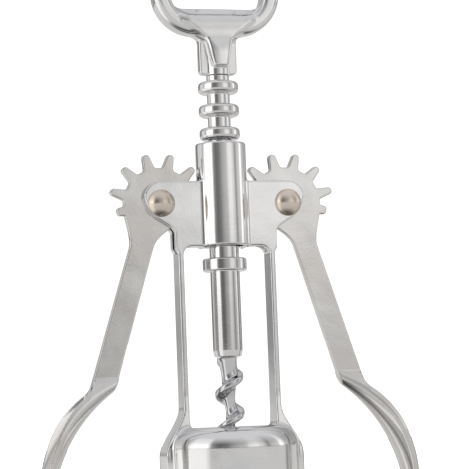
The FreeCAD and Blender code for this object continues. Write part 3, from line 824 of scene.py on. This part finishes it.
def world_light():
    """A white studio: soft light from all round, with the bands that bright metal shows."""
    world = bpy.data.worlds.new("studio")
    bpy.context.scene.world = world
    world.use_nodes = True
    tree = world.node_tree
    tree.nodes.clear()
    direction = add_node(tree, "ShaderNodeTexCoord", (-1200, 0)).outputs["Generated"]
    parts = add_node(tree, "ShaderNodeSeparateXYZ", (-1000, 0))
    tree.links.new(direction, parts.inputs[0])
    turn = add_node(tree, "ShaderNodeMath", (-800, 0), operation="ARCTAN2")
    minus_y = add_node(tree, "ShaderNodeMath", (-900, -160), operation="MULTIPLY")
    minus_y.inputs[1].default_value = -1.0
    tree.links.new(parts.outputs["Y"], minus_y.inputs[0])
    tree.links.new(parts.outputs["X"], turn.inputs[0])
    tree.links.new(minus_y.outputs[0], turn.inputs[1])
    part = mapped(tree, turn.outputs[0], -math.pi, math.pi, 0.0, 1.0, (-620, 0))
    # Degrees round from the front, to the right, and how bright the studio is there: first above the
    # table's edge, where its walls and openings show as bands, then over the pale table.
    walls = banded(tree, part, 360, 180, (
        (-180, 0.46), (-166, 0.42), (-158, 0.10), (-146, 0.22), (-138, 0.56), (-112, 0.60), (-104, 0.36),
        (-92, 1.00), (-58, 1.05), (-50, 0.24), (-38, 0.12), (-24, 0.16), (-8, 0.34), (8, 0.44), (13, 0.52),
        (16, 0.68), (30, 0.74), (44, 0.52), (53, 0.22), (60, 0.44), (76, 0.56), (80, 1.00), (86, 0.95),
        (94, 0.46), (118, 0.32), (150, 0.30), (180, 0.50)), (-420, 0))
    table = banded(tree, part, 360, 180, (
        (-180, 0.72), (-128, 0.72), (-122, 1.10), (-62, 1.10), (-52, 0.70), (92, 0.68), (98, 0.26),
        (106, 0.66), (180, 0.72)), (-420, -300))
    over_table = mapped(tree, parts.outputs["Z"], 0.0, 0.045, 0.0, 1.0, (-420, -560))
    round_about = blended(tree, over_table, table, walls, (-150, 0))
    # Upwards the studio first grows brighter and then fades, and straight below it is dark.
    rise = mapped(tree, parts.outputs["Z"], -1.0, 1.0, 0.0, 1.0, (-620, -800))
    strength = banded(tree, rise, 2, 1, (
        (-1.0, 0.14), (-0.90, 0.14), (-0.66, 0.85), (-0.03, 1.0), (0.035, 0.88), (0.06, 1.02),
        (0.105, 1.38), (0.25, 1.20), (0.5, 0.92), (1.0, 0.90)), (-420, -800))
    overhead = mapped(tree, parts.outputs["Z"], 0.35, 0.85, 0.0, 1.0, (-620, -260))
    sky = blended(tree, overhead, round_about, (0.78, 0.78, 0.80), (20, -200))
    shine = add_node(tree, "ShaderNodeBackground", (60, 0))
    tree.links.new(sky, shine.inputs["Color"])
    tree.links.new(strength, shine.inputs["Strength"])
    plain = add_node(tree, "ShaderNodeBackground", (60, -160))
    plain.inputs["Color"].default_value = (1.0, 1.0, 1.0, 1)
    plain.inputs["Strength"].default_value = 1.15
    seen = add_node(tree, "ShaderNodeLightPath", (60, 260)).outputs["Is Camera Ray"]
    choice = add_node(tree, "ShaderNodeMixShader", (300, 0))
    tree.links.new(seen, choice.inputs[0])
    tree.links.new(shine.outputs[0], choice.inputs[1])
    tree.links.new(plain.outputs[0], choice.inputs[2])
    output = add_node(tree, "ShaderNodeOutputWorld", (500, 0))
    tree.links.new(choice.outputs[0], output.inputs["Surface"])


def area_light(name, at, towards, size, power):
    """A soft light that shines at a point."""
    data = bpy.data.lights.new(name, "AREA")
    data.shape = "RECTANGLE"
    data.size, data.size_y = size
    data.energy = power
    item = bpy.data.objects.new(name, data)
    item.location = at
    item.rotation_euler = (Vector(towards) - Vector(at)).to_track_quat("-Z", "Y").to_euler()
    bpy.context.scene.collection.objects.link(item)


CAMERA_ANGLES = (-15.85, -5.3, -2.2)      # azimuth, elevation and roll, in degrees
CAMERA_TARGET = (3.07, 0, 91.25)
CAMERA_AWAY = 0.57
CAMERA_LENS = 163.0


def camera():
    """The camera: a little left of the front and level with the bell, looking slightly up."""
    azimuth, elevation, roll = (math.radians(angle) for angle in CAMERA_ANGLES)
    centre = Vector(CAMERA_TARGET) * MM
    back = Vector((math.sin(azimuth) * math.cos(elevation), -math.cos(azimuth) * math.cos(elevation),
                   math.sin(elevation)))
    right = (-back).cross(Vector((0, 0, 1))).normalized()
    up = right.cross(-back)
    tilted_right = right * math.cos(roll) + up * math.sin(roll)
    tilted_up = up * math.cos(roll) - right * math.sin(roll)
    data = bpy.data.cameras.new("camera")
    data.lens = CAMERA_LENS
    data.sensor_width = 36.0
    data.clip_start = 0.005
    item = bpy.data.objects.new("camera", data)
    basis = Matrix((tilted_right, tilted_up, back)).transposed()
    item.matrix_world = Matrix.Translation(centre + back * CAMERA_AWAY) @ basis.to_4x4()
    bpy.context.scene.collection.objects.link(item)
    bpy.context.scene.camera = item


floor()
world_light()
area_light("key_left", (-0.75, -0.25, 0.45), (0, 0, 0.09), (0.5, 0.7), 0.12)
camera()
bpy.context.scene.view_settings.view_transform = "Standard"
